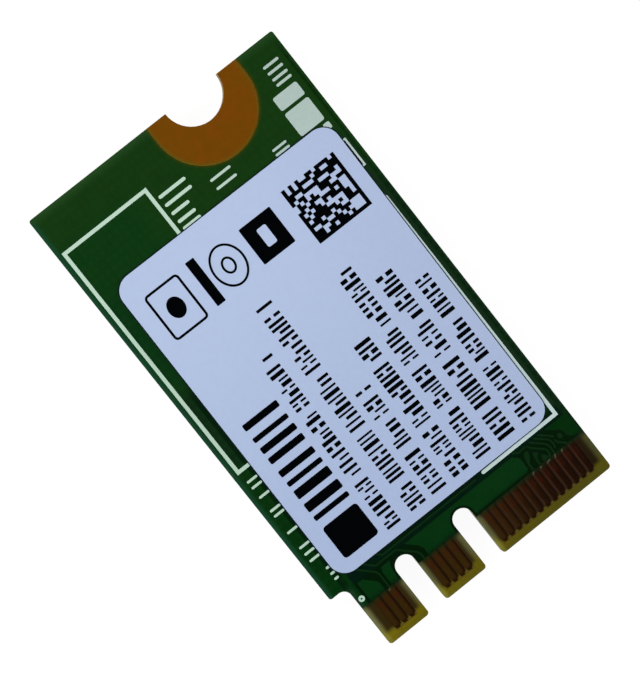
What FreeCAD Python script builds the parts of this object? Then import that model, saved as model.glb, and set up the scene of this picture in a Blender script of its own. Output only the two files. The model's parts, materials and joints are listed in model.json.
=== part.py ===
"""A narrow plug-in wireless card with a two-key edge connector.

The card lies on its shield lid with the label side up. X runs across the card, +Y points to the
mounting end, and Z is 0 on the lid's outer face. The origin lies below the middle of the board.
"""
import FreeCAD, Part
import math
import os
import re

import Sketcher

# Driving sizes in millimetres, and one angle in degrees. Places across the card are measured from
# its left edge, seen from the label side with the mounting end away. Places of inner parts are
# measured from the middle of the shield.
SIZES = {
    # laminate board and its coatings
    "board_length": 30.0,
    "board_thickness": 0.8,
    "board_corner_radius": 0.15,
    "mask_thickness": 0.03,
    "plating_thickness": 0.04,
    # tongue of the edge connector
    "tongue_length": 4.0,
    "tongue_step": 1.075,
    "tongue_corner_radius": 0.2,
    "shoulder_radius": 0.5,
    "bevel_run": 0.3,
    "bevel_drop": 0.12,
    "key_width": 1.2,
    "key_depth": 3.5,
    # contact fingers, counted by pin number with even pins on the label side
    "first_finger_x": 2.0,
    "finger_pitch": 0.5,
    "finger_width": 0.35,
    "finger_length": 2.05,
    "finger_start": 0.5,
    "finger_margin": 0.75,
    # half-round mounting notch and its plated lands
    "mount_x": 11.0,
    "mount_radius": 1.75,
    "land_radius": 3.0,
    "land_straight": 1.0,
    "mask_gap": 0.05,
    # label, stuck on slightly askew
    "label_left": 1.21,
    "label_right": 0.71,
    "label_start": 4.43,
    "label_end": 5.52,
    "label_thickness": 0.1,
    "label_corner_radius": 1.0,
    "label_skew": 0.42,
    # shield frame and push-on lid
    "shield_height": 1.25,
    "shield_margin": 0.65,
    "shield_start": 5.4,
    "shield_end": 4.6,
    "sheet_thickness": 0.15,
    "track_width": 0.5,
    "lid_skirt": 0.9,
    "lid_clearance": 0.03,
    "lid_corner_radius": 0.45,
    "lid_bend_bevel": 0.1,
    "corner_slit": 0.7,
    "flange_width": 0.7,
    "bridge_width": 1.2,
    "window_corner_radius": 0.5,
    "bead_length": 0.9,
    "bead_width": 0.25,
    "bead_depth": 0.1,
    "bead_rise": 0.12,
    "bead_clearance": 0.05,
    "bead_pitch": 5.5,
    "track_gap_width": 0.7,
    "track_gap_height": 0.25,
    # aerial sockets
    "antenna_first_x": 2.0,
    "antenna_pitch": 3.3,
    "antenna_inset": 1.5,
    "antenna_size": 2.0,
    "antenna_height": 0.6,
    "antenna_base_thickness": 0.22,
    "antenna_corner_bevel": 0.25,
    "antenna_ring_radius": 0.75,
    "antenna_flange_radius": 0.95,
    "antenna_wall": 0.1,
    "antenna_rim_bevel": 0.03,
    "antenna_tab_width": 0.7,
    "antenna_tab_thickness": 0.1,
    "antenna_leg": 0.15,
    "contact_radius": 0.14,
    "contact_height": 0.46,
    "contact_tip_bevel": 0.06,
    # radio chip on its solder lands
    "chip_size": 7.0,
    "chip_height": 0.6,
    "chip_x": 0.9,
    "chip_y": -1.3,
    "solder_gap": 0.05,
    "lead_pitch": 0.4,
    "lead_width": 0.22,
    "lead_length": 0.4,
    "thermal_pad": 4.6,
    "pin_mark_radius": 0.25,
    "pin_mark_depth": 0.05,
    "pin_mark_inset": 0.6,
    # other blocks in the shield
    "crystal_width": 2.5,
    "crystal_length": 2.0,
    "crystal_base_height": 0.35,
    "crystal_lid_height": 0.12,
    "crystal_lid_inset": 0.12,
    "crystal_x": -4.4,
    "crystal_y": -3.6,
    "memory_width": 2.0,
    "memory_length": 3.0,
    "memory_height": 0.5,
    "memory_x": -4.4,
    "memory_y": 0.6,
    "front_end_width": 3.0,
    "front_end_length": 3.0,
    "front_end_height": 0.65,
    "front_end_x": -3.6,
    "front_end_y": 5.6,
    "diplexer_width": 2.0,
    "diplexer_length": 1.25,
    "diplexer_height": 0.65,
    "diplexer_x": 0.6,
    "diplexer_y": 6.3,
    # chip parts with two plated ends
    "terminal_skin": 0.02,
    "inductor_length": 2.0,
    "inductor_width": 1.6,
    "inductor_height": 0.7,
    "inductor_terminal": 0.4,
    "inductor_pitch": 2.9,
    "inductor_x": 0.9,
    "inductor_y": -6.9,
    "capacitor_length": 1.0,
    "capacitor_width": 0.5,
    "capacitor_height": 0.5,
    "capacitor_terminal": 0.25,
    "capacitor_pitch": 1.3,
    "capacitor_x": 5.7,
    "capacitor_y": -1.3,
    "resistor_length": 0.6,
    "resistor_width": 0.3,
    "resistor_height": 0.23,
    "resistor_terminal": 0.15,
    "resistor_pitch": 1.0,
    "resistor_x": 1.4,
    "resistor_y": 3.9,
    "matching_length": 0.6,
    "matching_width": 0.3,
    "matching_height": 0.3,
    "matching_terminal": 0.15,
    "matching_pitch": 0.9,
    "matching_drop": 1.95,
}

# Pins at the ends of each group of fingers, and the pins that the keys take the place of.
LABEL_SIDE_PINS = ((2, 6), (16, 22), (32, 56))
COMPONENT_SIDE_PINS = ((1, 7), (17, 23), (33, 57))
KEY_PINS = ((8, 15), (24, 31))
FIRST_LABEL_PIN = LABEL_SIDE_PINS[0][0]
LAST_PIN = COMPONENT_SIDE_PINS[-1][1]

# Counts of what repeats.
BEADS_ACROSS = 2
BEADS_ALONG = 3
LEADS_PER_SIDE = 14
INDUCTOR_COUNT = 2
CAPACITOR_COUNT = 5
RESISTOR_COUNT = 5
MATCHING_COUNT = 2
ANTENNA_COUNT = 2

# Two places this close are the same.
TOUCH = 1e-4

doc = FreeCAD.newDocument("WirelessCard")
sheet = doc.addObject("Spreadsheet::Sheet", "Sheet")
parts = []


def fill_sheet():
    """Write the driving sizes into the sheet, each under its own name."""
    for row, (name, size) in enumerate(SIZES.items(), start=1):
        sheet.set(f"A{row}", name)
        sheet.set(f"B{row}", str(size))
        sheet.setAlias(f"B{row}", name)
    doc.recompute()


# Formulas. Each word in a formula is a size of the sheet.


def pin_x(pin):
    """Where a pin lies across the card. Pins alternate between the two sides."""
    return f"(first_finger_x + {(pin - FIRST_LABEL_PIN) / 2} * finger_pitch)"


def key_x(pins):
    """The middle of the pins that a key takes the place of."""
    return pin_x(sum(pins) / 2)


BOARD_WIDTH = f"({pin_x(LAST_PIN)} + finger_margin)"
MASK_START = "(finger_start + finger_length)"
BOARD_BOTTOM = "(shield_height + mask_thickness)"
BOARD_TOP = f"({BOARD_BOTTOM} + board_thickness)"
CARD_LEFT = f"-{BOARD_WIDTH} / 2"
CARD_START = "-board_length / 2"
SHIELD_Y = "(shield_start - shield_end) / 2"
LID_WIDTH = f"({BOARD_WIDTH} - 2 * shield_margin)"
LID_LENGTH = "(board_length - shield_start - shield_end)"
FRAME_INSET = "(sheet_thickness + lid_clearance)"
FRAME_WIDTH = f"({LID_WIDTH} - 2 * {FRAME_INSET})"
FRAME_LENGTH = f"({LID_LENGTH} - 2 * {FRAME_INSET})"
FRAME_HEIGHT = "(shield_height - sheet_thickness)"
WALL_HEIGHT = f"({FRAME_HEIGHT} - sheet_thickness)"
SLOT_WIDTH = "(bead_width + 2 * bead_clearance)"
BEAD_Z = f"({SLOT_WIDTH} / 2 + bead_rise - {WALL_HEIGHT})"


def bind(target, prop, formula):
    """Tie a property to a formula of sizes."""
    target.setExpression(prop, re.sub(r"[a-z][a-z_]*", r"Sheet.\g<0>", formula))


def place(part, x, y, z):
    """Put a sub-part's own origin at a place in the card's frame."""
    for axis, formula in zip("xyz", (x, y, z)):
        bind(part, f"Placement.Base.{axis}", formula)


# Building blocks of a body.


def new_body(name):
    body = doc.addObject("PartDesign::Body", name)
    parts.append(body)
    return body


def origin_part(body, role):
    return next(part for part in body.Origin.OriginFeatures if part.Role == role)


def new_sketch(body, name, x="0", y="0", z="0", plane="XY_Plane"):
    """A sketch on one of the body's own planes, moved to a place in that plane."""
    sketch = body.newObject("Sketcher::SketchObject", name)
    sketch.AttachmentSupport = [(origin_part(body, plane), "")]
    sketch.MapMode = "FlatFace"
    for axis, formula in zip("xyz", (x, y, z)):
        bind(sketch, f"AttachmentOffset.Base.{axis}", formula)
    return sketch


def dimension(sketch, kind, references, start, formula):
    """A dimension of the sketch, first at its drawn size and then tied to the sheet."""
    number = sketch.addConstraint(Sketcher.Constraint(kind, *references, start))
    bind(sketch, f"Constraints[{number}]", formula)


def join(sketch, kind, *references):
    sketch.addConstraint(Sketcher.Constraint(kind, *references))


def draw_line(sketch, start, end):
    return sketch.addGeometry(Part.LineSegment(FreeCAD.Vector(*start), FreeCAD.Vector(*end)))


def rectangle(sketch, width, length, x="0", y="0"):
    """A rectangle with its middle at x, y. Its lines start at the low left corner and run round."""
    first = sketch.GeometryCount
    corners = ((-1, -1), (1, -1), (1, 1), (-1, 1))
    for side in range(4):
        draw_line(sketch, corners[side], corners[(side + 1) % 4])
    for side in range(4):
        join(sketch, "Coincident", first + side, 2, first + (side + 1) % 4, 1)
        join(sketch, ("Horizontal", "Vertical")[side % 2], first + side)
    dimension(sketch, "DistanceX", (first, 1, first, 2), 2, width)
    dimension(sketch, "DistanceY", (first + 1, 1, first + 1, 2), 2, length)
    dimension(sketch, "DistanceX", (-1, 1, first, 1), -1, f"{x} - ({width}) / 2")
    dimension(sketch, "DistanceY", (-1, 1, first, 1), -1, f"{y} - ({length}) / 2")


def circle(sketch, radius, x="0", y="0"):
    number = sketch.addGeometry(Part.Circle(FreeCAD.Vector(), FreeCAD.Vector(0, 0, 1), 1))
    dimension(sketch, "Radius", (number,), 1, radius)
    dimension(sketch, "DistanceX", (-1, 1, number, 3), 0, x)
    dimension(sketch, "DistanceY", (-1, 1, number, 3), 0, y)


def round_ended(sketch, width, length, to_mount_end=False):
    """A strip from the sketch's origin along Y: its far end is a half circle, its near end straight."""
    way = 1 if to_mount_end else -1
    sides = (-way, way)
    half_turn = (0, math.pi) if to_mount_end else (math.pi, 2 * math.pi)
    centre = FreeCAD.Vector(0, 2 * way)
    full = Part.Circle(centre, FreeCAD.Vector(0, 0, 1), 1)
    # The outline runs up one side, round the end and back down the other, as the arc turns.
    rising = draw_line(sketch, (sides[1], 0), (sides[1], 2 * way))
    end = sketch.addGeometry(Part.ArcOfCircle(full, *half_turn))
    falling = draw_line(sketch, (sides[0], 2 * way), (sides[0], 0))
    base = draw_line(sketch, (sides[0], 0), (sides[1], 0))
    join(sketch, "Tangent", rising, 2, end, 1)
    join(sketch, "Tangent", end, 2, falling, 1)
    join(sketch, "Coincident", falling, 2, base, 1)
    join(sketch, "Coincident", base, 2, rising, 1)
    join(sketch, "Vertical", rising)
    join(sketch, "Vertical", falling)
    join(sketch, "Horizontal", base)
    join(sketch, "Symmetric", base, 1, base, 2, -1, 1)
    dimension(sketch, "Radius", (end,), 1, f"({width}) / 2")
    dimension(sketch, "DistanceY", (-1, 1, end, 3), 2 * way, f"{way} * ({length} - ({width}) / 2)")


def triangle(sketch, points):
    """A triangle with its corners at the given formulas."""
    starts = ((0, 0), (1, 0), (0, 1))
    lines = [draw_line(sketch, starts[i], starts[(i + 1) % 3]) for i in range(3)]
    for i, (x, y) in enumerate(points):
        join(sketch, "Coincident", lines[i], 2, lines[(i + 1) % 3], 1)
        dimension(sketch, "DistanceX", (-1, 1, lines[i], 1), starts[i][0], x)
        dimension(sketch, "DistanceY", (-1, 1, lines[i], 1), starts[i][1], y)


def pad(body, sketch, length, down=False):
    """Build a sketch up along its plane's normal, or down against it."""
    feature = body.newObject("PartDesign::Pad", f"{sketch.Name}_pad")
    feature.Profile = sketch
    feature.Reversed = down
    bind(feature, "Length", length)
    return feature


def pocket(body, sketch, depth=None, up=False):
    """Cut a sketch down against its plane's normal, or up along it: to a depth, or through all."""
    feature = body.newObject("PartDesign::Pocket", f"{sketch.Name}_cut")
    feature.Profile = sketch
    feature.Reversed = up
    if depth is None:
        feature.Type = "ThroughAll"
    else:
        bind(feature, "Length", depth)
    return feature


def repeat(body, features, axis, pitch, count):
    """Repeat features in a row along one of the body's own axes."""
    pattern = body.newObject("PartDesign::LinearPattern", f"{features[0].Name}_row")
    pattern.Originals = features
    pattern.Direction = (origin_part(body, axis), [""])
    bind(pattern, "Length", f"({pitch}) * {count - 1}")
    pattern.Occurrences = count
    body.Tip = pattern


def mirror(body, features, plane):
    """Repeat features on the other side of one of the body's own planes."""
    twin = body.newObject("PartDesign::Mirrored", f"{features[0].Name}_twin")
    twin.Originals = features
    twin.MirrorPlane = (origin_part(body, plane), [""])
    body.Tip = twin


def upright_edges(shape, spots):
    """Names of the edges that stand along Z on the given spots."""
    names = []
    for number, edge in enumerate(shape.Edges, start=1):
        box = edge.BoundBox
        if max(box.XLength, box.YLength) > TOUCH:
            continue
        if any(math.hypot(box.XMin - spot.x, box.YMin - spot.y) < TOUCH for spot in spots):
            names.append(f"Edge{number}")
    return names


def level_edges(shape):
    """Names of the edges that lie flat at the shape's lowest level."""
    level = shape.BoundBox.ZMin
    names = []
    for number, edge in enumerate(shape.Edges, start=1):
        if edge.BoundBox.ZMax - level < TOUCH:
            names.append(f"Edge{number}")
    return names


def corners(sketch, numbers=(0, 1, 2, 3)):
    """Corners of a sketch's rectangle in the body's frame, counted from the low left one round."""
    doc.recompute()
    return [sketch.Placement.multVec(sketch.Geometry[number].StartPoint) for number in numbers]


def fillet(body, radius, edges):
    """Round some edges of the body as it stands."""
    base = body.Tip
    feature = body.newObject("PartDesign::Fillet", f"{base.Name}_rounding")
    feature.Base = (base, edges)
    bind(feature, "Radius", radius)
    doc.recompute()


def round_uprights(body, radius, spots):
    doc.recompute()
    fillet(body, radius, upright_edges(body.Tip.Shape, spots))


def bevel(body, size, edges):
    """Bevel some edges of the body as it stands."""
    base = body.Tip
    feature = body.newObject("PartDesign::Chamfer", f"{base.Name}_bevel")
    feature.Base = (base, edges)
    bind(feature, "Size", size)
    doc.recompute()


def bevel_level(body, size):
    doc.recompute()
    bevel(body, size, level_edges(body.Tip.Shape))


# The board and what lies on it.


def keyed_plate(body, start, thickness):
    """A plate of the board's outline from a start along the card, with the shoulder and the keys."""
    plate = new_sketch(body, "outline", f"{BOARD_WIDTH} / 2", f"(board_length + {start}) / 2")
    rectangle(plate, BOARD_WIDTH, f"board_length - {start}")
    pad(body, plate, thickness)
    shoulder = new_sketch(body, "shoulder", "tongue_step / 2", "tongue_length / 2")
    rectangle(shoulder, "tongue_step", "tongue_length")
    pocket(body, shoulder, up=True)
    key = new_sketch(body, "key", key_x(KEY_PINS[0]))
    round_ended(key, "key_width", "key_depth", to_mount_end=True)
    cut = pocket(body, key, up=True)
    repeat(body, [cut], "X_Axis", f"{key_x(KEY_PINS[1])} - {key_x(KEY_PINS[0])}", len(KEY_PINS))
    round_uprights(body, "shoulder_radius", corners(shoulder, (2,)))
    round_uprights(body, "board_corner_radius", corners(plate, (2, 3)) + corners(shoulder, (3,)))
    return plate, shoulder, key


def round_tongue_tips(body, plate, shoulder, key):
    """Round the corners of the tongue, also where the keys open."""
    doc.recompute()
    key_step = FreeCAD.Vector(body.getObject("key_cut_row").Length.Value, 0, 0)
    mouth = [key.Placement.multVec(key.Geometry[3].StartPoint)]
    mouth.append(key.Placement.multVec(key.Geometry[3].EndPoint))
    spots = corners(plate, (1,)) + corners(shoulder, (1,)) + mouth
    spots += [spot + key_step for spot in mouth]
    round_uprights(body, "tongue_corner_radius", spots)


def make_board():
    body = new_body("circuit_board")
    plate, shoulder, key = keyed_plate(body, "0", "board_thickness")
    notch = new_sketch(body, "notch", "mount_x", "board_length")
    circle(notch, "mount_radius")
    pocket(body, notch, up=True)
    round_tongue_tips(body, plate, shoulder, key)
    tip = new_sketch(body, "tip_bevel", plane="YZ_Plane")
    triangle(tip, (("0", "0"), ("bevel_run", "0"), ("0", "bevel_drop")))
    top = "board_thickness"
    triangle(tip, (("0", top), ("bevel_run", top), ("0", f"{top} - bevel_drop")))
    pocket(body, tip, up=True)
    place(body, CARD_LEFT, CARD_START, BOARD_BOTTOM)


def mask_with_land_opening(name):
    """Solder mask of one side, drawn back a little from the mounting land."""
    body = new_body(name)
    keyed_plate(body, MASK_START, "mask_thickness")
    opening = new_sketch(body, "land_opening", "mount_x", "board_length")
    round_ended(opening, "2 * (land_radius + mask_gap)", "land_radius + land_straight + mask_gap")
    pocket(body, opening, up=True)
    return body


def track_ring(sketch):
    """The ring of plating under the shield frame's walls."""
    for side in (1, -1):
        grown = f"{side} * track_width - sheet_thickness"
        rectangle(sketch, f"{FRAME_WIDTH} + {grown}", f"{FRAME_LENGTH} + {grown}")


def make_masks():
    place(mask_with_land_opening("label_side_mask"), CARD_LEFT, CARD_START, BOARD_TOP)
    body = mask_with_land_opening("component_side_mask")
    opening = new_sketch(body, "track_opening", f"{BOARD_WIDTH} / 2", f"board_length / 2 + {SHIELD_Y}")
    track_ring(opening)
    pocket(body, opening, up=True)
    place(body, CARD_LEFT, CARD_START, "shield_height")


def make_fingers(name, groups, down, level):
    """The contact fingers of one side, in groups that leave out the keys."""
    body = new_body(name)
    for first, last in groups:
        finger = new_sketch(body, f"finger_{first}", pin_x(first), MASK_START)
        round_ended(finger, "finger_width", "finger_length")
        strip = pad(body, finger, "plating_thickness", down)
        repeat(body, [strip], "X_Axis", "finger_pitch", (last - first) // 2 + 1)
    place(body, CARD_LEFT, CARD_START, level)


def make_mounting_lands():
    """A plated land round the notch on each face of the board, straight-sided to the board's edge."""
    for name, down, level in (("label_land", False, BOARD_TOP), ("component_land", True, BOARD_BOTTOM)):
        body = new_body(name)
        outline = new_sketch(body, "outline", "mount_x", "board_length")
        round_ended(outline, "2 * land_radius", "land_radius + land_straight")
        pad(body, outline, "plating_thickness", down)
        notch = new_sketch(body, "notch", "mount_x", "board_length")
        circle(notch, "mount_radius")
        pocket(body, notch, up=not down)
        place(body, CARD_LEFT, CARD_START, level)


def make_label():
    body = new_body("label_sheet")
    outline = new_sketch(body, "outline")
    rectangle(outline, f"{BOARD_WIDTH} - label_left - label_right", "board_length - label_start - label_end")
    pad(body, outline, "label_thickness")
    round_uprights(body, "label_corner_radius", corners(outline))
    body.Placement.Rotation = FreeCAD.Rotation(FreeCAD.Vector(0, 0, -1), SIZES["label_skew"])
    bind(body, "Placement.Rotation.Angle", "label_skew")
    place(body, "(label_left - label_right) / 2", "(label_start - label_end) / 2",
          f"{BOARD_TOP} + mask_thickness")


# The shield. Its bodies stand on the board's component side and are built down from it.


def seat_in_shield(body, x="0", y="0", drop="0"):
    """Seat a body on the component side, at a place from the middle of the shield."""
    place(body, x, f"{SHIELD_Y} + {y}", f"shield_height - {drop}")


def corner_slits(sketch, width, length):
    """Squares at the four corners, where a folded sheet is slit between its walls."""
    for side in (-1, 1):
        for end in (-1, 1):
            x = f"{side} * ({width} - corner_slit) / 2"
            y = f"{end} * ({length} - corner_slit) / 2"
            rectangle(sketch, "corner_slit", "corner_slit", x, y)


def row_of_beads(sketch, count, grown):
    """Narrow oblongs along a wall, spread evenly about its middle, each grown by a margin all round."""
    for number in range(count):
        middle = f"{number - (count - 1) / 2} * bead_pitch"
        rectangle(sketch, f"bead_length + 2 * {grown}", f"bead_width + 2 * {grown}", middle, BEAD_Z)


def make_shield_track():
    body = new_body("shield_track")
    ring = new_sketch(body, "ring")
    track_ring(ring)
    pad(body, ring, "mask_thickness")
    seat_in_shield(body)


def make_shield_frame():
    """A stamped frame: four walls folded from a flange, with a bridge to pick it up by."""
    body = new_body("shield_frame")
    outline = new_sketch(body, "outline")
    rectangle(outline, FRAME_WIDTH, FRAME_LENGTH)
    pad(body, outline, FRAME_HEIGHT, down=True)
    inside = new_sketch(body, "inside")
    rectangle(inside, f"{FRAME_WIDTH} - 2 * sheet_thickness", f"{FRAME_LENGTH} - 2 * sheet_thickness")
    pocket(body, inside, WALL_HEIGHT)
    slits = new_sketch(body, "slits")
    corner_slits(slits, FRAME_WIDTH, FRAME_LENGTH)
    pocket(body, slits, WALL_HEIGHT)
    cut_frame_windows(body)
    cut_lock_slots(body)
    gaps = new_sketch(body, "track_gaps", f"antenna_first_x - {BOARD_WIDTH} / 2")
    rectangle(gaps, "track_gap_width", "2 * sheet_thickness", y=f"{FRAME_LENGTH} / 2")
    gap = pocket(body, gaps, "track_gap_height")
    repeat(body, [gap], "X_Axis", "antenna_pitch", ANTENNA_COUNT)
    seat_in_shield(body)


def cut_frame_windows(body):
    """Open the flange on both sides of the bridge."""
    length = f"({FRAME_LENGTH} / 2 - flange_width - bridge_width / 2)"
    windows = new_sketch(body, "windows")
    for end in (-1, 1):
        middle = f"{end} * (bridge_width + {length}) / 2"
        rectangle(windows, f"{FRAME_WIDTH} - 2 * flange_width", length, y=middle)
    pocket(body, windows)
    round_uprights(body, "window_corner_radius", corners(windows, range(8)))


def cut_lock_slots(body):
    """Slots in all four walls for the lid's beads."""
    for plane, count, span in (
        ("XZ_Plane", BEADS_ACROSS, FRAME_LENGTH),
        ("YZ_Plane", BEADS_ALONG, FRAME_WIDTH),
    ):
        slots = new_sketch(body, f"slots_{count}", z=f"{span} / 2", plane=plane)
        row_of_beads(slots, count, "bead_clearance")
        pocket(body, slots)


def make_shield_lid():
    """A shallow lid whose skirts spring over the frame and lock with pressed beads."""
    body = new_body("shield_lid")
    outline = new_sketch(body, "outline", z="-shield_height")
    rectangle(outline, LID_WIDTH, LID_LENGTH)
    pad(body, outline, "lid_skirt")
    round_uprights(body, "lid_corner_radius", corners(outline))
    bevel_level(body, "lid_bend_bevel")
    skirt_edge = "lid_skirt - shield_height"
    skirt_depth = "lid_skirt - sheet_thickness"
    inside = new_sketch(body, "inside", z=skirt_edge)
    rectangle(inside, f"{LID_WIDTH} - 2 * sheet_thickness", f"{LID_LENGTH} - 2 * sheet_thickness")
    pocket(body, inside, skirt_depth)
    slits = new_sketch(body, "slits", z=skirt_edge)
    corner_slits(slits, LID_WIDTH, LID_LENGTH)
    pocket(body, slits, skirt_depth)
    add_beads(body, "XZ_Plane", BEADS_ACROSS, LID_LENGTH)
    add_beads(body, "YZ_Plane", BEADS_ALONG, LID_WIDTH)
    seat_in_shield(body)


def add_beads(body, plane, count, span):
    """Press a row of beads into one skirt and its twin: a dent outside and a ridge inside."""
    ridges = new_sketch(body, f"ridges_{count}", z=f"{span} / 2 - sheet_thickness", plane=plane)
    row_of_beads(ridges, count, "0")
    ridge = pad(body, ridges, "bead_depth", down=True)
    dents = new_sketch(body, f"dents_{count}", z=f"{span} / 2", plane=plane)
    row_of_beads(dents, count, "-bead_clearance")
    dent = pocket(body, dents, "bead_depth")
    mirror(body, [ridge, dent], plane)


# The aerial sockets.


def make_antenna_base(name):
    body = new_body(f"{name}_base")
    outline = new_sketch(body, "outline")
    rectangle(outline, "antenna_size - 2 * antenna_leg", "antenna_size")
    pad(body, outline, "antenna_base_thickness", down=True)
    spots = corners(outline)
    bevel(body, "antenna_corner_bevel", upright_edges(body.Tip.Shape, spots))
    hole = new_sketch(body, "hole")
    circle(hole, "contact_radius")
    pocket(body, hole)
    return body


def make_antenna_shell(name):
    """A drawn ring on a round flange, with a tab on each side that folds down to the board."""
    body = new_body(f"{name}_shell")
    strip = new_sketch(body, "strip", z="-antenna_base_thickness")
    rectangle(strip, "antenna_size", "antenna_tab_width")
    pad(body, strip, "antenna_tab_thickness", down=True)
    flange = new_sketch(body, "flange", z="-antenna_base_thickness")
    circle(flange, "antenna_flange_radius")
    pad(body, flange, "antenna_tab_thickness", down=True)
    legs = new_sketch(body, "legs")
    for side in (-1, 1):
        rectangle(legs, "antenna_leg", "antenna_tab_width", x=f"{side} * (antenna_size - antenna_leg) / 2")
    pad(body, legs, "antenna_base_thickness", down=True)
    ring = new_sketch(body, "ring", z="-antenna_base_thickness")
    circle(ring, "antenna_ring_radius")
    pad(body, ring, "antenna_height - antenna_base_thickness", down=True)
    bore = new_sketch(body, "bore")
    circle(bore, "antenna_ring_radius - antenna_wall")
    pocket(body, bore)
    bevel_level(body, "antenna_rim_bevel")
    return body


def make_antenna_contact(name):
    body = new_body(f"{name}_contact")
    pin = new_sketch(body, "pin")
    circle(pin, "contact_radius")
    pad(body, pin, "contact_height", down=True)
    bevel_level(body, "contact_tip_bevel")
    return body


def make_antennas():
    for number, name in enumerate(("main_antenna", "aux_antenna")):
        x = f"antenna_first_x + {number} * antenna_pitch - {BOARD_WIDTH} / 2"
        for make in (make_antenna_base, make_antenna_shell, make_antenna_contact):
            place(make(name), x, "board_length / 2 - antenna_inset", "shield_height")


# The parts on the component side.


def make_block(name, width, length, height, marked=False):
    """A block, if it is moulded with a round mark in one corner of its outer face."""
    body = new_body(name)
    outline = new_sketch(body, "outline")
    rectangle(outline, width, length)
    pad(body, outline, height, down=True)
    if marked:
        face = f"-({height})"
        x = f"pin_mark_inset - {width} / 2"
        mark = new_sketch(body, "mark", x, f"{length} / 2 - pin_mark_inset", face)
        circle(mark, "pin_mark_radius")
        pocket(body, mark, "pin_mark_depth", up=True)
    return body


def make_radio_chip():
    chip = make_block("wifi_chip", "chip_size", "chip_size", "chip_height", marked=True)
    seat_in_shield(chip, "chip_x", "chip_y", "solder_gap")
    body = new_body("wifi_chip_leads")
    pads = new_sketch(body, "thermal")
    rectangle(pads, "thermal_pad", "thermal_pad")
    pad(body, pads, "solder_gap", down=True)
    start = f"-{(LEADS_PER_SIDE - 1) / 2} * lead_pitch"
    edge = "(chip_size - lead_length) / 2"
    for axis in ("X_Axis", "Y_Axis"):
        leads = new_sketch(body, f"leads_{axis[0]}")
        for side in (-1, 1):
            if axis == "X_Axis":
                rectangle(leads, "lead_width", "lead_length", start, f"{side} * {edge}")
            else:
                rectangle(leads, "lead_length", "lead_width", f"{side} * {edge}", start)
        lead = pad(body, leads, "solder_gap", down=True)
        repeat(body, [lead], axis, "lead_pitch", LEADS_PER_SIDE)
    seat_in_shield(body, "chip_x", "chip_y")


def make_crystal():
    base = make_block("crystal_base", "crystal_width", "crystal_length", "crystal_base_height")
    seat_in_shield(base, "crystal_x", "crystal_y")
    lid = make_block("crystal_lid", "crystal_width - 2 * crystal_lid_inset",
                     "crystal_length - 2 * crystal_lid_inset", "crystal_lid_height")
    seat_in_shield(lid, "crystal_x", "crystal_y", "crystal_base_height")


def make_other_blocks():
    for name, family, marked in (
        ("memory_chip", "memory", True),
        ("front_end_module", "front_end", True),
        ("diplexer", "diplexer", False),
    ):
        body = make_block(name, f"{family}_width", f"{family}_length", f"{family}_height", marked)
        seat_in_shield(body, f"{family}_x", f"{family}_y")


def chip_row(name, terminals_name, family, count, axis):
    """A row of chip parts with two plated ends, across the row: cores in one body, ends in another."""
    across = axis == "X_Axis"
    start = f"-{(count - 1) / 2} * {family}_pitch"
    cores = new_body(name)
    core = new_sketch(cores, "core", z="-terminal_skin")
    core_size = (f"{family}_width - 2 * terminal_skin", f"{family}_length - 2 * {family}_terminal")
    spot = (start, "0")
    rectangle(core, *oriented(core_size, across), *oriented(spot, across))
    block = pad(cores, core, f"{family}_height - 2 * terminal_skin", down=True)
    repeat(cores, [block], axis, f"{family}_pitch", count)
    ends = new_body(terminals_name)
    caps = new_sketch(ends, "caps")
    cap_size = (f"{family}_width", f"{family}_terminal")
    for side in (-1, 1):
        spot = (start, f"{side} * ({family}_length - {family}_terminal) / 2")
        rectangle(caps, *oriented(cap_size, across), *oriented(spot, across))
    cap = pad(ends, caps, f"{family}_height", down=True)
    repeat(ends, [cap], axis, f"{family}_pitch", count)
    return cores, ends


def oriented(pair, across):
    """A pair along X and Y, or with the two exchanged."""
    return pair if across else pair[::-1]


def make_chip_rows():
    for name, family, count, axis in (
        ("power_inductors", "inductor", INDUCTOR_COUNT, "X_Axis"),
        ("capacitors", "capacitor", CAPACITOR_COUNT, "Y_Axis"),
        ("resistors", "resistor", RESISTOR_COUNT, "X_Axis"),
    ):
        for body in chip_row(name, f"{family}_terminals", family, count, axis):
            seat_in_shield(body, f"{family}_x", f"{family}_y")


def make_matching_parts():
    """A pair of chip parts between each aerial socket and the shield."""
    for body in chip_row("matching_parts", "matching_terminals", "matching", MATCHING_COUNT, "X_Axis"):
        row = body.Tip
        row.Direction2 = (origin_part(body, "X_Axis"), [""])
        bind(row, "Length2", f"antenna_pitch * {ANTENNA_COUNT - 1}")
        row.Occurrences2 = ANTENNA_COUNT
        x = f"antenna_first_x - {BOARD_WIDTH} / 2"
        place(body, x, "board_length / 2 - antenna_inset - matching_drop", "shield_height")


def build():
    fill_sheet()
    make_board()
    make_masks()
    make_fingers("label_side_fingers", LABEL_SIDE_PINS, False, BOARD_TOP)
    make_fingers("component_side_fingers", COMPONENT_SIDE_PINS, True, BOARD_BOTTOM)
    make_mounting_lands()
    make_label()
    make_shield_track()
    make_shield_frame()
    make_shield_lid()
    make_antennas()
    make_radio_chip()
    make_crystal()
    make_other_blocks()
    make_chip_rows()
    make_matching_parts()
    doc.recompute()


def check():
    """Stop if any object failed or any sub-part has no sound shape."""
    for item in doc.Objects:
        if "Invalid" in item.State or "Error" in item.State:
            raise RuntimeError(f"{item.Name} of {item.getParentGeoFeatureGroup()} failed: {item.State}")
    for part in parts:
        if part.Shape.isNull() or not part.Shape.isValid() or not part.Shape.Solids:
            raise RuntimeError(f"{part.Label} has no sound shape")


def export():
    os.makedirs("parts", exist_ok=True)
    for part in parts:
        part.Shape.exportStep(os.path.join("parts", f"{part.Label}.step"))
        print(f"{part.Label}: {len(part.Shape.Solids)} solids, {part.Shape.Volume:.4f} mm3")


build()
check()
export()
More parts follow.
